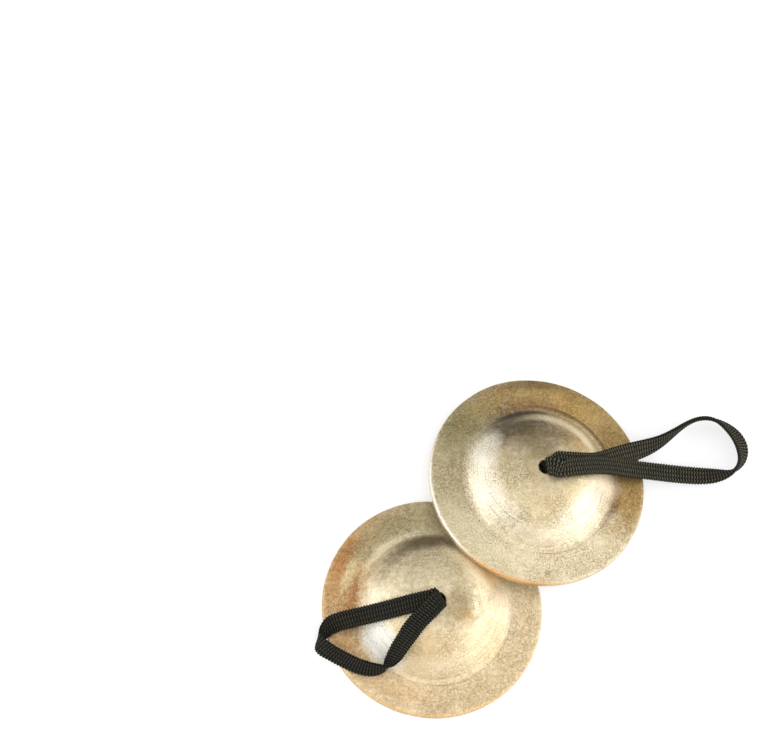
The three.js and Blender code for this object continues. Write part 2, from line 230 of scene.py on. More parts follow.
class StrapSettings(bpy.types.PropertyGroup):
    width: bpy.props.FloatProperty(
        name="Width", description="Across the flat braid", default=0.0054, unit="LENGTH", subtype="DISTANCE")
    thickness: bpy.props.FloatProperty(
        name="Thickness", description="Through the flat braid", default=0.0011, unit="LENGTH", subtype="DISTANCE")
    pick_pitch: bpy.props.FloatProperty(
        name="Stitch pitch", description="From stitch to stitch along the braid", default=0.00079,
        unit="LENGTH", subtype="DISTANCE")
    wale_count: bpy.props.IntProperty(
        name="Ribs", description="Lengthwise ribs of stitches on each face", default=4, min=1)
    stitch_depth: bpy.props.FloatProperty(
        name="Stitch depth", description="Height of a stitch over the gap beside it", default=0.00015,
        unit="LENGTH", subtype="DISTANCE")


class StudioSettings(bpy.types.PropertyGroup):
    floor_size: bpy.props.FloatProperty(
        name="Floor size", description="Side of the floor", default=4.0, unit="LENGTH", subtype="DISTANCE")
    focal_length: bpy.props.FloatProperty(
        name="Focal length", description="Lens of the camera, in mm on a 36 mm sensor", default=207.79)
    camera_place: bpy.props.FloatVectorProperty(
        name="Camera place", description="Where the camera stands", default=(-0.20338, -0.29392, 1.15641),
        subtype="TRANSLATION", unit="LENGTH", size=3)


# -------------------- places and shapes


def seat(side):
    """Places a cymbal's own axes, whose height 0 is the face it rests on, in the frame. The lower swivel is given
    at that face, the upper one at the hub."""
    swivel = JOINTS[f"{side}_strap_swivel"]
    axis = Vector(swivel["axis"])
    height = 0 if side == "lower" else HUB_HEIGHT * MM
    turn = Vector((0, 0, 1)).rotation_difference(axis).to_matrix().to_4x4()
    return Matrix.Translation(Vector(swivel["pos_m"]) - axis * height) @ turn


def rise(value, start, end):
    """Smooth step from 0 before start to 1 after end."""
    along = np.clip((value - start) / (end - start), 0, 1)
    return along * along * (3 - 2 * along)


def new_object(name, data):
    """An object in the scene, at the origin."""
    made = bpy.data.objects.new(name, data)
    bpy.context.scene.collection.objects.link(made)
    return made


def points_of(bm):
    return np.array([vert.co for vert in bm.verts], float)


def put_in_place(bm, name, side, points=None):
    """Ends the bmesh as an object at the origin, its points given in mm in the cymbal's own axes."""
    if points is None:
        points = points_of(bm)
    mesh = bpy.data.meshes.new(name)
    bm.to_mesh(mesh)
    bm.free()
    mesh.vertices.foreach_set("co", np.ascontiguousarray(points * MM, np.float32).ravel())
    mesh.transform(seat(side))
    mesh.shade_smooth()
    mesh.update()
    return new_object(name, mesh)


# -------------------- cymbals


def softened(first, second, settings):
    """The higher of two surfaces, with the corner between them rounded."""
    return (first + second + np.hypot(first - second, settings.foot_blend / MM)) / 2


def radii(settings):
    """Radius of the rim and of the dome's foot, in mm."""
    return settings.diameter / 2 / MM, settings.dome_diameter / 2 / MM


def upper_height(radius, settings):
    """Height of a cymbal's upper surface, in mm, before the marks of the turning tool."""
    rim, foot = radii(settings)
    thick = settings.rim_thickness / MM
    flange = thick + FLANGE_RISE * (rim - radius) / (rim - foot)
    dome = thick + FLANGE_RISE + settings.dome_height / MM * (1 - (radius / foot) ** DOME_FULLNESS)
    return softened(flange, dome, settings)


def under_height(radius, settings):
    """Height of the under surface, which is flat only near the rim."""
    rim, foot = radii(settings)
    land, inner = rim - LAND_WIDTH, foot - DOME_WALL
    flange = FLANGE_RISE * (land - radius) / (land - inner)
    roof = settings.rim_thickness / MM + settings.dome_height / MM - DOME_WALL
    hollow = FLANGE_RISE + roof * (1 - (radius / inner) ** DOME_FULLNESS)
    return softened(flange, hollow, settings)


def corner(radius, height, size, start, steps=6):
    """Quarter round about a centre, counter-clockwise from a start angle in degrees."""
    angles = np.radians(np.linspace(start, start + 90, steps + 1))
    return [(radius + size * math.cos(a), height + size * math.sin(a)) for a in angles]


def cymbal_section(settings):
    """Half section of a cymbal, out along the underside, round the rim and back over the dome."""
    rim, foot = radii(settings)
    thick = settings.rim_thickness / MM
    land = rim - LAND_WIDTH
    edge, level = rim - RIM_ROUND, rim - 0.8
    lip, mouth = HOLE_RADIUS + HOLE_CHAMFER, HOLE_RADIUS + HOLE_ROUND
    under = np.linspace(lip, land - 0.2, 62)
    over = np.linspace(edge, mouth, 176)
    over_height = upper_height(over, settings)
    groove_depth, groove_reach, groove_width = 0.05, 1.2, 0.18
    over_height -= groove_depth * np.exp(-(((over - foot - groove_reach) / groove_width) ** 2))
    ring_pitch = 0.86
    rings = np.sin(over * 2 * math.pi / ring_pitch + 1.4 * np.sin(over * 0.9))
    over_height += settings.turning_depth / MM * rings * rise(over, 3, 6)
    over_height += (thick - over_height) * rise(over, level, edge)
    section = [(HOLE_RADIUS, under_height(lip, settings) + HOLE_CHAMFER)]
    section += zip(under, under_height(under, settings) * rise(land + 0.4 - under, 0, 1.2))
    section += [(radius, 0.0) for radius in np.linspace(land, level, 4)]
    section += corner(edge, RIM_ROUND, RIM_ROUND, -90)
    section += corner(edge, thick - RIM_ROUND, RIM_ROUND, 0)
    section += list(zip(over, over_height))[1:]
    section += corner(mouth, over_height[-1] - HOLE_ROUND, HOLE_ROUND, 90)[1:]
    return section


def roughen_casting(bm, side, settings):
    """Leaves the bronze slightly uneven, as cast, but for the hole's edge and the face it rests on."""
    wave = settings.casting_wave / MM
    place = Vector(CASTING_PLACE[side])
    rim = radii(settings)[0]
    hole_edge, land, land_height = HOLE_RADIUS + 0.5, rim - 3.4, 0.3
    for vert in bm.verts:
        radius = math.hypot(vert.co.x, vert.co.y)
        if radius < hole_edge:
            continue
        broad = noise.noise(vert.co * 0.16 + place)
        close = noise.noise(vert.co * 0.75 - place)
        if vert.co.z > land_height or radius < land:
            vert.co.z += min(1, (radius - hole_edge) / 2) * wave * (broad + 0.35 * close)
        outward = wave * rise(radius, rim - 1.5, rim) * (0.9 * broad + 0.7 * close) - 0.3 * wave
        vert.co.x += vert.co.x / radius * outward
        vert.co.y += vert.co.y / radius * outward


def make_cymbal(side, settings):
    """One cymbal, spun from its half section."""
    bm = bmesh.new()
    section = [bm.verts.new((radius, 0, height)) for radius, height in cymbal_section(settings)]
    edges = [bm.edges.new(pair) for pair in zip(section, section[1:] + section[:1])]
    bmesh.ops.spin(
        bm, geom=section + edges, cent=(0, 0, 0), axis=(0, 0, 1), angle=math.pi / 2,
        steps=settings.steps_around // 4)
    weld = 1e-4
    for axis in "XY":
        everything = list(bm.verts) + list(bm.edges) + list(bm.faces)
        bmesh.ops.mirror(bm, geom=everything, merge_dist=weld, axis=axis)
    bmesh.ops.remove_doubles(bm, verts=bm.verts, dist=weld)
    bmesh.ops.recalc_face_normals(bm, faces=bm.faces)
    roughen_casting(bm, side, settings)
    piece = put_in_place(bm, f"{side}_cymbal_cast", side)
    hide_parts(f"{side}_cymbal")
    return piece


# -------------------- braided elastic


def straight_braid(length, step, around):
    """Closed tube of unit radius along X, from a grid rolled up, which the braid's own shape is then laid on."""
    bm = bmesh.new()
    steps = math.ceil(length / step)
    bmesh.ops.create_grid(bm, x_segments=steps, y_segments=around, size=1)
    for vert in bm.verts:
        turn = math.pi * vert.co.y
        vert.co = ((vert.co.x + 1) / 2 * length, math.sin(turn), math.cos(turn))
    bmesh.ops.remove_doubles(bm, verts=bm.verts, dist=1e-5)
    bmesh.ops.holes_fill(bm, edges=[edge for edge in bm.edges if edge.is_boundary], sides=0)
    bmesh.ops.recalc_face_normals(bm, faces=bm.faces)
    return bm


def braid_section(turn, width, thickness):
    """Point across and up, and the direction outwards, for each share of the way round the braid's section."""
    radius = thickness / 2
    flat, bend = width - thickness, math.pi * radius
    way = np.mod(turn, 1) * (2 * flat + 2 * bend)
    across, up, out_across, out_up = (np.zeros_like(way) for _ in range(4))
    spans = ((0, flat), (flat, bend), (flat + bend, flat), (2 * flat + bend, bend))
    for index, (start, size) in enumerate(spans):
        part = (way >= start) & (way <= start + size)
        along = (way[part] - start) / size
        if index % 2 == 0:
            sign = 1 - index
            across[part] = sign * (flat / 2 - flat * along)
            up[part] = sign * radius
            out_up[part] = sign
        else:
            angle = math.pi / 2 * index + math.pi * along
            across[part] = (index - 2) * flat / 2 + radius * np.cos(angle)
            up[part] = radius * np.sin(angle)
            out_across[part] = np.cos(angle)
            out_up[part] = np.sin(angle)
    return across, up, out_across, out_up


def rib_width(width, settings):
    """Width of one lengthwise rib of stitches, in mm."""
    return (width - EDGE_CORDS) / settings.wale_count


def stitch_relief(along, across, up, width, settings):
    """Height of the braid's stitches, from 0 in the gaps to 1 on a stitch, and how far a point is on an edge."""
    place = across / rib_width(width, settings) + settings.wale_count / 2
    beside = np.abs(np.mod(place, 1) - 0.5) * 2
    picks = along / (settings.pick_pitch / MM)
    back_shift = np.where(up > 0, 0.0, 0.5)
    pick = 0.5 + 0.5 * np.cos(2 * math.pi * (picks + STITCH_SLANT * beside + back_shift))
    face = np.sqrt(np.clip(1 - beside ** 2, 0, 1)) * (0.45 + 0.55 * pick)
    cord = 0.5 + 0.5 * np.cos(2 * math.pi * (picks + STITCH_SLANT * up))
    cord_start, cord_full = width / 2 - 0.55, width / 2 - 0.25
    at_edge = rise(np.abs(across), cord_start, cord_full)
    return face * (1 - at_edge) + cord * at_edge, at_edge


def follow(rows, distances, at):
    """Smooth curve through the rows, read at the given distances."""
    rows = np.asarray(rows, float)
    spans = np.diff(distances)
    slope = np.diff(rows, axis=0) / spans[:, None]
    tangent = np.vstack([slope[:1], slope, slope[-1:]])
    before = np.r_[spans[0], spans]
    after = np.r_[spans, spans[-1]]
    tangent = (tangent[1:] * before[:, None] + tangent[:-1] * after[:, None]) / (before + after)[:, None]
    index = np.clip(np.searchsorted(distances, at, side="right") - 1, 0, len(rows) - 2)
    span = spans[index][:, None]
    t = ((at - distances[index]) / spans[index])[:, None]
    return (
        rows[index] * (2 * t ** 3 - 3 * t ** 2 + 1) + rows[index + 1] * (3 * t ** 2 - 2 * t ** 3)
        + tangent[index] * span * (t ** 3 - 2 * t ** 2 + t) + tangent[index + 1] * span * (t ** 3 - t ** 2))


def unit(vectors):
    """The vectors, made one long."""
    return vectors / np.linalg.norm(vectors, axis=1)[:, None]


def lay_braid(name, side, rows, settings, squeeze=None, around=80, step=0.12, width=None, thickness=None):
    """Makes a braid whose middle follows the rows. squeeze gives, for the way along, how much the section is
    narrowed, thinned and curled."""
    width = width or settings.width / MM
    thickness = thickness or settings.thickness / MM
    rows = np.asarray(rows, float)
    path, sides = rows[:, :3], rows[:, 3:]
    distances = np.r_[0, np.cumsum(np.linalg.norm(np.diff(path, axis=0), axis=1))]
    length = distances[-1]
    bm = straight_braid(length, step, around)
    straight = points_of(bm)
    along = np.clip(straight[:, 0], 0, length)
    turn = np.arctan2(straight[:, 1], straight[:, 2]) / (2 * math.pi)
    across, up, out_across, out_up = braid_section(turn, width, thickness)
    relief, at_edge = stitch_relief(along, across, up, width, settings)
    lift = settings.stitch_depth / MM * (1 + 0.8 * at_edge) * (relief - 1)
    wide, thick, curl = squeeze(along, length) if squeeze else (1, 1, np.zeros_like(along))
    across_now = (across + out_across * lift) * wide
    up_now = (up + out_up * lift) * thick
    middle = follow(path, distances, along)
    near = 0.02
    tangent = unit(follow(path, distances, along + near) - follow(path, distances, along - near))
    sideways = unit(follow(sides, distances, along))
    face = unit(np.cross(tangent, sideways))
    least_curl = 1e-6
    level = np.abs(curl) < least_curl
    curl_now = np.where(level, least_curl, curl)
    angle = across_now * curl
    out = np.where(level, across_now, np.sin(angle) / curl_now)
    dish = np.where(level, 0, (1 - np.cos(angle)) / curl_now)
    points = middle + sideways * (out - np.sin(angle) * up_now)[:, None]
    points += face * (dish + np.cos(angle) * up_now)[:, None]
    piece = put_in_place(bm, name, side, points)
    place = np.column_stack([along, across, np.sign(up)]).astype(np.float32)
    piece.data.attributes.new("braid_place", "FLOAT_VECTOR", "POINT").data.foreach_set("vector", place.ravel())
    return piece


def hole_bend(side, start, facing, inset, skew):
    """Rows of the quarter bend from the inside of the hole up to a row of the loop. skew turns the strap in the
    hole away from the loop's direction, in degrees."""
    start = np.asarray(start, float)
    heading = STRAP_DIRECTION[side]
    inside = np.array([math.cos(heading), math.sin(heading)]) * inset
    turned = heading + math.radians(skew)
    across = np.array([-math.sin(turned), math.cos(turned), 0]) * facing
    levels_inside, bend_start = (9.6, 10.6, 11.5), 12.2
    rows = [(*inside, level, *across) for level in levels_inside]
    for angle in np.radians((90, 72, 54, 36, 18)):
        share = math.sin(angle)
        plan = start[:2] + (inside - start[:2]) * share
        height = bend_start + (start[2] - bend_start) * math.cos(angle)
        rows.append((*plan, height, *(start[3:] * (1 - share) + across * share)))
    return rows


def make_loop(side, settings):
    """Finger loop, from the inside of the hole out along its route and back in."""
    route = list(LOOP_ROUTE[side])
    first_seat, last_seat = HOLE_SEAT[side]
    start_fit, end_fit = HOLE_FIT[side]
    rows = hole_bend(side, route[0], 1, *first_seat) + route
    rows += hole_bend(side, route[-1], -1, *last_seat)[::-1]

    def squeeze(along, length):
        results = []
        for index, (free, first, last) in enumerate(FREE_FIT):
            at_start = 1 - rise(along, first, last)
            at_end = 1 - rise(length - along, first, last)
            results.append(free + (start_fit[index] - free) * at_start + (end_fit[index] - free) * at_end)
        return results

    piece = lay_braid(f"{side}_finger_loop", side, rows, settings, squeeze)
    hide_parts(f"{side}_strap_loop", f"{side}_strap_neck")
    return piece


def make_knot(side, settings):
    """Overhand knot of the doubled strap, inside the dome."""
    ring, swing, rise_and_fall = 2.091, 1.02, 1.75
    middle = KNOT_TOP - KNOT_HALF_HEIGHT
    turns = np.linspace(0, 2 * math.pi, 61)
    reach = ring + swing * np.cos(3 * turns)
    angle = 2 * turns + STRAP_DIRECTION[side]
    height = middle + rise_and_fall * np.sin(3 * turns)
    path = np.column_stack([reach * np.cos(angle), reach * np.sin(angle), height])
    tangent = unit(np.gradient(path, axis=0))
    outward = unit(path - np.array([0, 0, middle]))
    rows = np.hstack([path, unit(np.cross(tangent, outward))])
    strand_width, strand_thickness = 3.1, 2.2
    piece = lay_braid(f"{side}_knot", side, rows, settings, around=56, step=0.15,
                      width=strand_width, thickness=strand_thickness)
    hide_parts(f"{side}_strap_knot")
    return piece


def make_tail(side, number, settings):
    """Cut end of the strap, drooping outwards from the knot."""
    root_angle, squareness = math.radians(30), 0.8
    root_reach = KNOT_DIAMETER / 2 * math.cos(root_angle) ** squareness
    root_height = KNOT_TOP - KNOT_HALF_HEIGHT * (1 + math.sin(root_angle) ** squareness)
    lowest, droop_share = 1.4, 0.8
    droop = (root_height - lowest) * droop_share
    heading = STRAP_DIRECTION[side] + (math.pi / 2 if number == 1 else -math.pi / 2)
    outward = np.array([math.cos(heading), math.sin(heading), 0])
    left = np.array([-outward[1], outward[0], 0])
    in_knot, start = outward * 2.4, root_reach + 0.6
    rows = [(*in_knot[:2], root_height + 0.5, *left)]
    for share in np.linspace(0, 1, 7):
        spot = outward * (start + TAIL_LENGTH * share)
        spot[2] = root_height - droop * (1 - math.cos(share * math.pi / 2))
        swing = 0.12 * math.sin(share * 4 + number)
        rows.append((*spot, *(left + np.array([0, 0, swing]))))
    piece = lay_braid(f"{side}_tail_{number}", side, rows, settings, around=64, step=0.14)
    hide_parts(f"{side}_strap_tail_{number}")
    return piece


# -------------------- materials


def tone(code):
    """Linear colour of a hexadecimal sRGB code."""
    parts = [int(code[i:i + 2], 16) / 255 for i in (0, 2, 4)]
    return tuple(p / 12.92 if p <= 0.04045 else ((p + 0.055) / 1.055) ** 2.4 for p in parts) + (1.0,)


class Board:
    """Adds nodes to one material or shader group and joins them."""

    def __init__(self, tree):
        self.tree = tree

    def add(self, kind, feeds=None, **settings):
        node = self.tree.nodes.new(kind)
        for key, value in settings.items():
            setattr(node, key, value)
        for socket, value in (feeds or {}).items():
            self.feed(node.inputs[socket], value)
        return node

    def feed(self, socket, value):
        if isinstance(value, bpy.types.NodeSocket):
            self.tree.links.new(value, socket)
        else:
            socket.default_value = value

    def math(self, operation, *values):
        return self.add("ShaderNodeMath", dict(enumerate(values)), operation=operation).outputs[0]

    def plus(self, first, second):
        return self.math("ADD", first, second)

    def minus(self, first, second):
        return self.math("SUBTRACT", first, second)

    def times(self, first, second):
        return self.math("MULTIPLY", first, second)

    def distance(self, first, second):
        """How far a point is from the middle, from its two coordinates."""
        return self.math("SQRT", self.plus(self.times(first, first), self.times(second, second)))

    def noise(self, place, scale, detail, roughness=0.5):
        return self.add("ShaderNodeTexNoise", {
            "Vector": place, "Scale": scale, "Detail": detail, "Roughness": roughness}).outputs[0]

    def step(self, value, start, end, low=0.0, high=1.0):
        """Smooth step of a value, to between low and high."""
        feeds = {"Value": value, "From Min": start, "From Max": end, "To Min": low, "To Max": high}
        return self.add("ShaderNodeMapRange", feeds, interpolation_type="SMOOTHSTEP").outputs[0]

    def mix(self, share, first, second, blend="MIX"):
        """Second colour over the first; the numbers are the colour sockets of the mixing node."""
        node = self.add("ShaderNodeMix", {0: share, 6: first, 7: second}, data_type="RGBA", blend_type=blend)
        return node.outputs[2]

    def filled(self, tree, feeds):
        """A shader group with its own values."""
        return self.add("ShaderNodeGroup", feeds, node_tree=tree).outputs


def new_group(name, numbers, results):
    """A shader group that is given a place and numbers: its tree, its board, its inputs and its outputs."""
    tree = bpy.data.node_groups.new(name, "ShaderNodeTree")
    tree.interface.new_socket(name="Place", in_out="INPUT", socket_type="NodeSocketVector")
    for label, default in numbers.items():
        socket = tree.interface.new_socket(name=label, in_out="INPUT", socket_type="NodeSocketFloat")
        socket.default_value = default
    for label in results:
        tree.interface.new_socket(name=label, in_out="OUTPUT", socket_type="NodeSocketFloat")
    board = Board(tree)
    return tree, board, board.add("NodeGroupInput").outputs, board.add("NodeGroupOutput").inputs


def new_material(name):
    material = bpy.data.materials.new(name)
    material.use_nodes = True
    return material, Board(material.node_tree), material.node_tree.nodes["Principled BSDF"]


def patina_and_light_patch_group():
    """A stained place, place of wear, band, painted highlight, painted reflection or painted shade at a direction
    and radius on the cymbal.
    """
    tree, board, given, out = new_group(
        "Patina and painted light patch",
        {"Direction": 0.0, "Spread": 30.0, "Radius": 20.0, "Half Width": 2.0, "Edge": 0.5, "Ragged": 0.5,
         "Grain": 0.4},
        ["Mask"])
    back = board.math("RADIANS", board.times(given["Direction"], -1.0))
    turned = board.add("ShaderNodeVectorRotate", {"Vector": given["Place"], "Angle": back}, rotation_type="Z_AXIS")
    split = board.add("ShaderNodeSeparateXYZ", {0: turned.outputs[0]}).outputs
    radius = board.distance(split[0], split[1])
    angle = board.math("DEGREES", board.math("ARCTAN2", split[1], split[0]))
    around = board.math("DIVIDE", angle, given["Spread"])
    outward = board.math("DIVIDE", board.minus(radius, given["Radius"]), given["Half Width"])
    away = board.distance(around, outward)
    rag = board.minus(board.noise(given["Place"], given["Grain"], 5.0, 0.62), 0.5)
    away = board.plus(away, board.times(rag, board.times(given["Ragged"], 2.0)))
    near = board.minus(1.0, given["Edge"])
    far = board.plus(1.0, given["Edge"])
    board.feed(out["Mask"], board.minus(1.0, board.step(away, near, far)))
    return tree


def pepper_group():
    """Small casting pits and specks, some of the cells of a fine pattern."""
    tree, board, given, out = new_group("Pepper", {"Scale": 1.0, "Amount": 0.3, "Size": 0.25}, ["Mask"])
    cell = board.add("ShaderNodeTexVoronoi", {"Vector": given["Place"], "Scale": given["Scale"]}).outputs
    inner = board.times(given["Size"], 0.5)
    spot = board.minus(1.0, board.step(cell[0], inner, given["Size"]))
    draw = board.add("ShaderNodeSeparateColor", {0: cell[1]}).outputs[0]
    chosen = board.math("LESS_THAN", draw, given["Amount"])
    board.feed(out["Mask"], board.times(spot, chosen))
    return tree


def turning_group():
    """Rings left by the turning tool, uneven in strength."""
    tree, board, given, out = new_group("Turning rings", {"Pitch": 0.4, "Wander": 0.15}, ["Lines"])
    split = board.add("ShaderNodeSeparateXYZ", {0: given["Place"]}).outputs
    radius = board.distance(split[0], split[1])
    drift = board.minus(board.noise(given["Place"], 0.22, 2.0), 0.5)
    wander = board.times(drift, given["Wander"])
    along = board.math("DIVIDE", board.plus(radius, wander), given["Pitch"])
    irregular = board.add("ShaderNodeTexNoise", {"W": along, "Scale": 1.0, "Detail": 2.0, "Roughness": 0.6},
                          noise_dimensions="1D").outputs[0]
    strength = board.step(board.noise(given["Place"], 0.12, 3.0), 0.35, 0.6)
    lines = board.times(board.minus(irregular, 0.5), strength)
    board.feed(out["Lines"], board.times(lines, 2.0))
    return tree


def braid_group():
    """Stitches of the flat braid, from its own place along and across, in mm."""
    tree, board, given, out = new_group("Braid", {"Rib": 1.3, "Ribs": 4.0, "Pitch": 0.79}, ["Stitch", "Fibre"])
    split = board.add("ShaderNodeSeparateXYZ", {0: given["Place"]}).outputs
    first_rib = board.times(given["Ribs"], 0.5)
    across = board.plus(board.math("DIVIDE", split[1], given["Rib"]), first_rib)
    off_middle = board.math("ABSOLUTE", board.minus(board.math("FRACT", across), 0.5))
    beside = board.times(off_middle, 2.0)
    slant = board.times(beside, STITCH_SLANT)
    back_shift = board.times(board.math("LESS_THAN", split[2], 0.0), 0.5)
    picks = board.math("DIVIDE", split[0], given["Pitch"])
    phase = board.plus(board.plus(picks, slant), back_shift)
    wave = board.math("COSINE", board.times(phase, 2 * math.pi))
    pick = board.step(wave, -0.3, 0.9)
    rib = board.minus(1.0, board.math("POWER", beside, 3.0))
    board.feed(out["Stitch"], board.times(pick, rib))
    stretched = board.add("ShaderNodeVectorMath", {0: given["Place"], 1: (3.0, 9.0, 1.0)}, operation="MULTIPLY")
    board.feed(out["Fibre"], board.noise(stretched.outputs[0], 1.6, 4.0, 0.7))
    return tree


def shader_groups():
    """The shader groups by short name, built at first use."""
    makers = {"patch": ("Patina and painted light patch", patina_and_light_patch_group), "pepper": ("Pepper", pepper_group),
              "turning": ("Turning rings", turning_group), "braid": ("Braid", braid_group)}
    return {key: bpy.data.node_groups.get(name) or make() for key, (name, make) in makers.items()}


def own_place(board, side):
    """Object coordinates turned to the cymbal's own axes, in mm."""
    matrix = seat(side)
    return board.add("ShaderNodeMapping", {
        "Vector": board.add("ShaderNodeTexCoord").outputs["Object"],
        "Location": matrix.to_translation(), "Rotation": matrix.to_euler(), "Scale": (MM, MM, MM),
    }, vector_type="TEXTURE").outputs[0]


# A stained place, place of wear, band, painted highlight, painted reflection or painted shade on a cymbal:
# direction and spread in degrees, radius and half width in mm, how soft and how ragged its edge is and how fine
# the rags are, its colour, its strength and the roughness that it adds
ColourPatch = namedtuple(
    "ColourPatch", "direction spread radius half_width edge ragged grain colour strength rougher",
    defaults=(None, 1.0, 0.0))

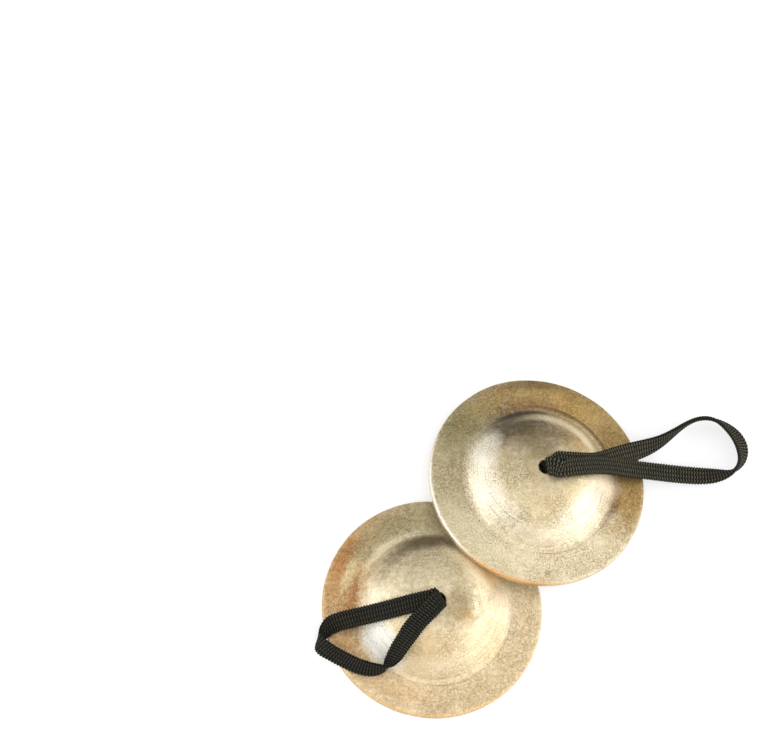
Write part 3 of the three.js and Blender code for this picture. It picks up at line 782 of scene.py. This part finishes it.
# The stains and places of wear of each cymbal, with its painted highlights, reflections and shade, a later one
# over an earlier one
PATINA_AND_PAINTED_LIGHT = {
    "lower": (
        (165, 60, 26.0, 6.0, 0.5, 1.0, 0.50, "D6AC78", 0.85, 0.06),
        (162, 50, 25.5, 4.0, 0.4, 1.6, 0.70, "BC8A50", 0.55, 0.10),
        (150, 34, 23.2, 1.6, 0.6, 1.2, 0.60, "E2CFA0", 0.55, 0.00),
        (172, 16, 22.6, 1.6, 0.6, 1.6, 0.90, "B87A46", 0.60, 0.08),
        (148, 12, 27.4, 1.6, 0.6, 1.4, 0.90, "C68E54", 0.65, 0.10),
        (158, 14, 24.6, 1.4, 0.6, 1.4, 1.00, "E6D3A4", 0.80, 0.00),
        (184, 14, 26.4, 2.6, 0.6, 1.2, 0.70, "D8B27E", 0.60, 0.00),
        (188, 10, 27.0, 1.6, 0.6, 1.4, 0.90, "DCC096", 0.80, 0.00),
        (128, 20, 24.5, 3.6, 0.6, 0.8, 0.40, "AEA884", 0.60, 0.10),
        # painted reflection, these two rows: dark arc in the foot of the dome towards the back, mirroring a dark
        # surround
        (92, 30, 17.8, 2.2, 0.6, 0.5, 0.50, "5A4C38", 0.80, 0.06),
        (124, 26, 16.8, 1.6, 0.8, 0.6, 0.50, "80765C", 0.50, 0.06),
        # painted highlight: thin bright line along the foot of the dome
        (124, 26, 21.0, 1.1, 0.7, 0.3, 0.50, "F4EBC8", 0.70, 0.00),
        # darker flange towards the back
        (92, 34, 25.4, 4.4, 0.5, 0.8, 0.35, "B4AC86", 0.70, 0.04),
        (92, 30, 9.0, 3.6, 0.8, 0.6, 0.40, "EBDDB4", 0.60, 0.00),
        # painted light, these two rows: lighter, warmer shoulder where the upper cymbal shades it and is mirrored
        # in it
        (44, 30, 15.6, 3.8, 0.7, 0.3, 0.60, "FFF0CC", 0.95, 0.14),
        (30, 16, 18.2, 2.4, 0.7, 0.3, 0.60, "FFDFA6", 1.00, 0.14),
        (48, 30, 25.5, 4.6, 0.6, 0.6, 0.30, "D0C4A0", 0.50, 0.02),
        # painted highlight on the right shoulder of the dome
        (2, 22, 19.0, 2.4, 0.6, 0.3, 0.60, "FFF0D4", 0.85, 0.00),
        (-20, 60, 5.5, 3.5, 0.7, 0.7, 0.50, "97804F", 0.60, 0.08),
        (-28, 14, 9.0, 2.2, 0.8, 0.6, 0.50, "B48F58", 0.50, 0.04),
        (260, 36, 14.5, 6.0, 0.8, 0.5, 0.40, "DABB8A", 0.65, 0.00),
        (244, 24, 24.8, 3.0, 0.6, 0.8, 0.30, "CFA974", 0.60, 0.02),
        (-60, 80, 26.0, 5.0, 0.6, 0.6, 0.30, "DCC096", 0.60, 0.00),
        # painted highlights, these two rows, on the lower right shoulder of the dome
        (-40, 34, 16.5, 3.6, 0.6, 0.3, 0.60, "F2DCB6", 0.60, -0.05),
        (-76, 30, 17.4, 2.6, 0.7, 0.4, 0.60, "F8E6C2", 0.70, 0.00),
        # painted highlight on the left shoulder of the dome
        (195, 32, 17.0, 2.8, 0.6, 0.3, 0.60, "F3EBDA", 0.55, 0.05),
        # painted highlight over the strap's shadow and reflection on the left shoulder
        (216, 22, 18.2, 3.4, 0.5, 0.3, 0.60, "FFFCF2", 1.00, 0.12),
        # painted highlight: thin pale line along the foot of the dome
        (-45, 80, 20.7, 0.35, 0.8, 0.5, 0.80, "F0D9B0", 0.60, -0.05),
        # rim edge: wear, with a painted highlight along it
        (270, 60, 29.7, 0.6, 0.5, 0.8, 0.60, "E4C08A", 0.80, -0.05),
    ),
    "upper": (
        (180, 40, 25.5, 5.5, 0.6, 0.6, 0.30, "BDB08A", 0.60, 0.05),
        (138, 26, 25.5, 5.5, 0.6, 0.6, 0.40, "9C9468", 0.85, 0.05),
        (224, 26, 25.5, 5.5, 0.6, 0.5, 0.40, "E4D8B4", 0.85, 0.00),
        (56, 72, 26.0, 5.4, 0.35, 0.8, 0.45, "BE9F64", 0.88, 0.04),
        (88, 22, 28.6, 1.5, 0.7, 0.6, 0.50, "7C6840", 0.65, 0.04),
        (28, 12, 26.0, 4.0, 0.6, 0.8, 0.40, "9C7E44", 0.50, 0.02),
        (64, 16, 24.6, 3.6, 0.6, 0.8, 0.40, "D2AC66", 0.55, 0.00),
        (60, 46, 21.5, 0.5, 0.7, 0.4, 0.70, "7E6440", 0.80, 0.04),
        (-62, 62, 9.5, 4.5, 0.8, 0.5, 0.50, "CDB98E", 0.62, 0.00),
        (-6, 28, 26.2, 4.2, 0.4, 0.8, 0.45, "B49356", 0.80, 0.04),
        (100, 60, 4.6, 2.4, 0.8, 0.5, 0.60, "9C8A62", 0.75, 0.05),
        (205, 50, 4.6, 2.2, 0.8, 0.5, 0.60, "C6B288", 0.60, 0.00),
        (42, 30, 12.8, 3.4, 0.8, 0.6, 0.60, "C4A05E", 0.65, 0.03),
        # painted shade: dims the inner edge of the left shoulder highlight
        (190, 34, 11.4, 3.0, 0.8, 0.6, 0.60, "C4B48C", 0.60, 0.04),
        (98, 26, 21.2, 2.4, 0.7, 1.0, 0.60, "8E6238", 0.60, 0.08),
        (-14, 22, 21.6, 1.5, 0.8, 1.2, 0.60, "80542C", 0.70, 0.12),
        # painted reflection, these two rows: dark arc in the foot of the dome towards the back, mirroring a dark
        # surround
        (116, 32, 16.0, 4.4, 0.6, 0.5, 0.50, "565044", 0.85, 0.08),
        (98, 24, 19.3, 0.9, 0.6, 0.4, 0.60, "463A2A", 0.75, 0.06),
        # darker on the dome towards the back
        (100, 44, 10.8, 4.6, 0.8, 0.7, 0.50, "6A552E", 0.72, 0.06),
        # painted highlight on the left shoulder of the dome
        (156, 18, 17.0, 3.0, 0.6, 0.4, 0.60, "FFF8E4", 0.85, 0.00),
        # painted highlight, these two rows, on the right shoulder and along the foot of the dome
        (52, 46, 16.8, 1.6, 0.6, 0.3, 0.60, "FFF0CC", 0.80, 0.00),
        (34, 40, 19.4, 0.9, 0.6, 0.3, 0.60, "DCC696", 0.60, 0.00),
        # painted highlight over the strap's shadow and reflection beside the strap
        (-4, 12, 18.2, 3.4, 0.8, 0.2, 0.60, "FFEBC8", 1.00, 0.12),
        # painted highlights, these two rows, on the left and the lower right shoulders of the dome
        (195, 44, 16.5, 3.4, 0.6, 0.5, 0.80, "F3EDE0", 0.60, -0.05),
        (-42, 32, 16.0, 4.0, 0.7, 0.3, 0.60, "FAF3E4", 0.70, -0.08),
        (-80, 40, 25.0, 5.0, 0.7, 0.4, 0.30, "F2E2C0", 0.70, 0.00),
        # painted highlight on the lower right shoulder of the dome
        (-74, 26, 17.8, 2.0, 0.7, 0.3, 0.50, "FFF2D6", 0.70, 0.00),
        # rim edge, these two rows: wear, with a painted highlight along it
        (205, 46, 29.8, 0.45, 0.4, 0.4, 0.60, "F8EEDC", 0.90, -0.08),
        (252, 26, 29.8, 0.55, 0.4, 0.4, 0.60, "E2B67C", 0.90, -0.05),
        (273, 1.9, 26.8, 0.8, 0.4, 0.3, 0.80, "A8945F", 0.55, 0.05),
    ),
}

# Where the bronze is made less metallic beside the strap, under the painted highlight that covers the strap's
# shadow and reflection
PAINTED_LIGHT_BESIDE_STRAP = {
    "lower": ColourPatch(216, 24, 18.2, 3.6, 0.7, 0.3, 0.60),
    "upper": ColourPatch(-5, 14, 18.4, 3.6, 0.7, 0.3, 0.60),
}

# How strong the dark grain of the casting is, where it is faintest and where it is strongest
GRAIN = {"lower": (0.30, 0.56), "upper": (0.38, 0.68)}

# Darker and lighter yarn, darker and lighter stitch, the lighter partly a painted highlight,
# and the gap between stitches, darkened as painted shade
ELASTIC_TONES = {
    "lower": ("1B1C17", "26231A", "38372E", "5A574A", "0D0D0B"),
    "upper": ("24231C", "302B20", "565245", "8C8770", "12120F"),
}


def dimmed(code, share):
    """A tone made darker or lighter, so that a patch is blotchy."""
    return tuple(min(1.0, part * share) for part in tone(code)[:3]) + (1.0,)


def patch_mask(board, patch, place, patch_row):
    """Where a stained place, place of wear, painted highlight, painted reflection or painted shade is seen,
    and how strongly.
    """
    mask = board.filled(patch, {
        "Place": place, "Direction": float(patch_row.direction), "Spread": float(patch_row.spread),
        "Radius": patch_row.radius, "Half Width": patch_row.half_width, "Edge": patch_row.edge, "Ragged": patch_row.ragged,
        "Grain": patch_row.grain})[0]
    return board.times(mask, patch_row.strength)


def bronze_material(side, groups):
    """Cast bronze with its stains and places of wear, painted highlights, reflections and shade, grain, turning
    rings and pits.
    """
    material, board, shader = new_material(f"{side} cymbal bronze")
    place = own_place(board, side)
    fine = board.noise(place, 2.3, 4.0, 0.8)
    mottle = board.noise(place, 0.55, 6.0, 0.65)
    blotch = board.step(board.noise(place, 1.1, 4.0, 0.7), 0.36, 0.64)
    colour = board.mix(board.step(mottle, 0.35, 0.65), tone("D2C29C"), tone("EDDFC0"))
    rough = board.step(mottle, 0.3, 0.7, 0.44, 0.36)

    blotchy_from, smooth_up_to = 0.6, 0.3
    highlight_and_wear = 0.0
    # Stains and places of wear, and painted highlights, reflections and shade, laid into the base colour
    for row in PATINA_AND_PAINTED_LIGHT[side]:
        patch_row = ColourPatch(*row)
        mask = patch_mask(board, groups["patch"], place, patch_row)
        tint = tone(patch_row.colour)
        if patch_row.ragged >= blotchy_from:
            tint = board.mix(blotch, dimmed(patch_row.colour, 0.80), dimmed(patch_row.colour, 1.12))
        colour = board.mix(mask, colour, tint)
        if patch_row.rougher < 0 or patch_row.ragged <= smooth_up_to:
            highlight_and_wear = board.math("MAXIMUM", highlight_and_wear, mask)
        if patch_row.rougher:
            rough = board.plus(rough, board.times(mask, patch_row.rougher))

    uneven = board.step(board.noise(place, 0.11, 2.0), 0.40, 0.60, *GRAIN[side])
    # The painted highlights, and the wear on the rim, take less of the dark grain
    grain = board.times(board.minus(1.0, board.times(highlight_and_wear, 0.45)), uneven)
    grain = board.times(board.minus(1.0, board.step(fine, 0.38, 0.60)), grain)
    colour = board.mix(grain, colour, board.mix(1.0, colour, tone("8A7A58"), "MULTIPLY"))
    rings = board.filled(groups["turning"], {"Place": place, "Pitch": 0.22, "Wander": 0.5})[0]
    scratched = board.times(board.step(rings, 0.10, 0.55), 0.55)
    colour = board.mix(scratched, colour, board.mix(1.0, colour, tone("A8976F"), "MULTIPLY"))
    pits = board.filled(groups["pepper"], {"Place": place, "Scale": 1.7, "Amount": 0.22, "Size": 0.28})[0]
    dots = board.filled(groups["pepper"], {"Place": place, "Scale": 0.7, "Amount": 0.12, "Size": 0.17})[0]
    dark = board.math("MAXIMUM", board.times(pits, 0.65), dots)
    colour = board.mix(board.times(dark, 0.80), colour, tone("42382A"))
    board.feed(shader.inputs["Base Color"], colour)

    rough = board.plus(rough, board.times(board.minus(fine, 0.5), 0.35))
    board.feed(shader.inputs["Roughness"], rough)
    painted_light_beside_strap = patch_mask(board, groups["patch"], place, PAINTED_LIGHT_BESIDE_STRAP[side])
    # Less metallic under the painted highlight beside the strap
    board.feed(shader.inputs["Metallic"], board.step(painted_light_beside_strap, 0.0, 1.0, 0.78, 0.25))
    height = board.plus(board.times(fine, 0.8), board.times(rings, 0.30))
    height = board.minus(height, board.times(dark, 0.6))
    bump = board.add("ShaderNodeBump", {"Strength": 1.0, "Distance": 0.14 * MM, "Height": height})
    board.feed(shader.inputs["Normal"], bump.outputs[0])
    return material


def elastic_material(side, groups, settings):
    """Faded black braid, its stitches lighter than the yarn under them, partly as a painted highlight on their
    crests, and the gaps between them darkened as painted shade.
    """
    yarn_dark, yarn_pale, stitch_dark, pale_stitch_and_highlight, hollow = (tone(code) for code in ELASTIC_TONES[side])
    material, board, shader = new_material(f"{side} braided elastic")
    place = board.add("ShaderNodeAttribute", attribute_name="braid_place", attribute_type="GEOMETRY")
    stitch, fibre = board.filled(groups["braid"], {
        "Place": place.outputs["Vector"], "Rib": rib_width(settings.width / MM, settings),
        "Ribs": float(settings.wale_count), "Pitch": settings.pick_pitch / MM})
    fade = board.noise(board.add("ShaderNodeTexCoord").outputs["Object"], 140.0, 3.0, 0.6)
    yarn = board.mix(board.step(fade, 0.38, 0.62), yarn_dark, yarn_pale)
    # Stitch colour, its paler tone partly a painted highlight on the stitch crests
    light = board.mix(board.step(fibre, 0.35, 0.7), stitch_dark, pale_stitch_and_highlight)
    shown = board.times(stitch, board.step(fibre, 0.30, 0.75))
    # The hollow tone is painted shade in the gaps between stitches
    colour = board.mix(board.step(stitch, 0.0, 0.25), hollow, board.mix(shown, yarn, light))
    board.feed(shader.inputs["Base Color"], colour)
    shader.inputs["Roughness"].default_value = 0.86
    shader.inputs["Specular IOR Level"].default_value = 0.12
    height = board.plus(board.times(stitch, 0.6), board.times(fibre, 0.5))
    bump = board.add("ShaderNodeBump", {"Strength": 0.8, "Distance": 0.08 * MM, "Height": height})
    board.feed(shader.inputs["Normal"], bump.outputs[0])
    return material


# -------------------- stage


def make_floor(settings):
    """White paper that the set lies on, just under the face it rests on."""
    clearance, glow_strength = 0.02 * MM, 0.56
    bm = bmesh.new()
    bmesh.ops.create_grid(bm, x_segments=1, y_segments=1, size=settings.floor_size / 2)
    bmesh.ops.translate(bm, verts=bm.verts, vec=(0, 0, -clearance))
    mesh = bpy.data.meshes.new("studio_floor")
    bm.to_mesh(mesh)
    bm.free()
    floor = new_object("studio_floor", mesh)
    material, board, principled = new_material("studio floor paper")
    nodes = material.node_tree.nodes
    nodes.remove(principled)
    rays = board.add("ShaderNodeLightPath").outputs
    seen = board.math("MAXIMUM", rays["Is Camera Ray"], rays["Is Glossy Ray"])
    seen = board.math("MAXIMUM", seen, rays["Is Transmission Ray"])
    paper = board.add("ShaderNodeBsdfDiffuse", {"Color": (0.5, 0.5, 0.5, 1)}).outputs[0]
    strength = board.times(seen, glow_strength)
    glow = board.add("ShaderNodeEmission", {"Color": (1, 1, 1, 1), "Strength": strength}).outputs[0]
    both = board.add("ShaderNodeAddShader", {0: paper, 1: glow}).outputs[0]
    board.feed(nodes["Material Output"].inputs["Surface"], both)
    mesh.materials.append(material)


def light_studio():
    """Soft panels low at the left and the right and a broad one overhead, in a pale room that darkens towards
    the back."""
    middle = Vector((0.01, 0.0, 0.01))
    panels = (
        ("left panel", (-0.95, 0.0, 0.26), (1.30, 0.45), 4.7),
        ("right panel", (0.95, -0.12, 0.30), (1.30, 0.42), 5.7),
        ("overhead panel", (-0.15, -0.55, 1.6), (1.6, 1.2), 4.0),
    )
    for name, place, size, power in panels:
        light = bpy.data.lights.new(name, "AREA")
        light.shape = "RECTANGLE"
        light.size, light.size_y = size
        light.energy = power
        panel = new_object(name, light)
        panel.location = place
        panel.rotation_euler = (middle - Vector(place)).to_track_quat("-Z", "Y").to_euler()
    world = bpy.data.worlds.new("studio room")
    world.use_nodes = True
    board = Board(world.node_tree)
    direction = board.add("ShaderNodeTexCoord").outputs["Generated"]
    toward = board.add("ShaderNodeSeparateXYZ", {0: direction}).outputs[1]
    room = board.step(toward, 0.25, 0.80, 1.05, 0.62)
    back_wall = board.step(toward, 0.75, 1.0, 0.0, 0.34)
    background = world.node_tree.nodes["Background"]
    board.feed(background.inputs["Strength"], board.minus(room, back_wall))
    background.inputs["Color"].default_value = (1, 1, 1, 1)
    bpy.context.scene.world = world


def place_camera(settings):
    """Camera at the photograph's angle, above the set and a little to the front and the left."""
    back_to_camera = Vector((-0.1343, -0.2826, 0.9498)).normalized()
    camera = bpy.data.cameras.new("photo camera")
    camera.sensor_fit = "HORIZONTAL"
    camera.sensor_width = 36
    camera.lens = settings.focal_length
    camera.shift_x = -0.0005
    turn = Vector((0, 0, 1)).rotation_difference(back_to_camera).to_matrix().to_4x4()
    holder = new_object("photo camera", camera)
    holder.matrix_world = Matrix.Translation(Vector(settings.camera_place)) @ turn
    bpy.context.scene.camera = holder


# -------------------- operators


def braided_elastic(side, context):
    """The material of one strap, made at first use."""
    made = bpy.data.materials.get(f"{side} braided elastic")
    return made or elastic_material(side, shader_groups(), context.scene.finger_strap)


class OBJECT_OT_cast_cymbals(bpy.types.Operator):
    """Make both cymbals"""

    bl_idname = "object.cast_cymbals"
    bl_label = "Cast cymbals"

    def execute(self, context):
        for side in SIDES:
            piece = make_cymbal(side, context.scene.finger_cymbal)
            piece.data.materials.append(bronze_material(side, shader_groups()))
            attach(piece, f"{side}_cymbal")
        return {"FINISHED"}


class OBJECT_OT_lay_finger_loops(bpy.types.Operator):
    """Lay both finger loops of braided elastic"""

    bl_idname = "object.lay_finger_loops"
    bl_label = "Lay finger loops"

    def execute(self, context):
        for side in SIDES:
            piece = make_loop(side, context.scene.finger_strap)
            piece.data.materials.append(braided_elastic(side, context))
            place = seat(side)
            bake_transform(piece)
        return {"FINISHED"}


class OBJECT_OT_tie_knots(bpy.types.Operator):
    """Tie both knots, with their cut ends"""

    bl_idname = "object.tie_knots"
    bl_label = "Tie knots"

    def execute(self, context):
        settings = context.scene.finger_strap
        for side in SIDES:
            for piece in (make_knot(side, settings), make_tail(side, 1, settings), make_tail(side, 2, settings)):
                piece.data.materials.append(braided_elastic(side, context))
                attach(piece, f"{side}_strap_anchor")
        return {"FINISHED"}


class OBJECT_OT_set_studio(bpy.types.Operator):
    """Set up floor, light and camera"""

    bl_idname = "object.set_studio"
    bl_label = "Set up studio"

    def execute(self, context):
        context.scene.view_settings.view_transform = "Standard"
        make_floor(context.scene.cymbal_studio)
        light_studio()
        place_camera(context.scene.cymbal_studio)
        return {"FINISHED"}


OPERATORS = (OBJECT_OT_cast_cymbals, OBJECT_OT_lay_finger_loops, OBJECT_OT_tie_knots, OBJECT_OT_set_studio)


class VIEW3D_PT_finger_cymbals(bpy.types.Panel):
    """Lists the making steps and their sizes"""

    bl_label = "Finger cymbals"
    bl_space_type = "VIEW_3D"
    bl_region_type = "UI"
    bl_category = "Finger cymbals"

    def draw(self, context):
        for settings in (context.scene.finger_cymbal, context.scene.finger_strap, context.scene.cymbal_studio):
            box = self.layout.box()
            for key in settings.__annotations__:
                box.prop(settings, key)
        for operator in OPERATORS:
            self.layout.operator(operator.bl_idname)


CLASSES = (CymbalSettings, StrapSettings, StudioSettings) + OPERATORS + (VIEW3D_PT_finger_cymbals,)


def register():
    for item in CLASSES:
        bpy.utils.register_class(item)
    bpy.types.Scene.finger_cymbal = bpy.props.PointerProperty(type=CymbalSettings)
    bpy.types.Scene.finger_strap = bpy.props.PointerProperty(type=StrapSettings)
    bpy.types.Scene.cymbal_studio = bpy.props.PointerProperty(type=StudioSettings)


def unregister():
    del bpy.types.Scene.finger_cymbal
    del bpy.types.Scene.finger_strap
    del bpy.types.Scene.cymbal_studio
    for item in reversed(CLASSES):
        bpy.utils.unregister_class(item)


def main():
    """Makes the whole scene."""
    register()
    bpy.ops.object.cast_cymbals()
    bpy.ops.object.lay_finger_loops()
    bpy.ops.object.tie_knots()
    bpy.ops.object.set_studio()


if __name__ == "__main__":
    main()
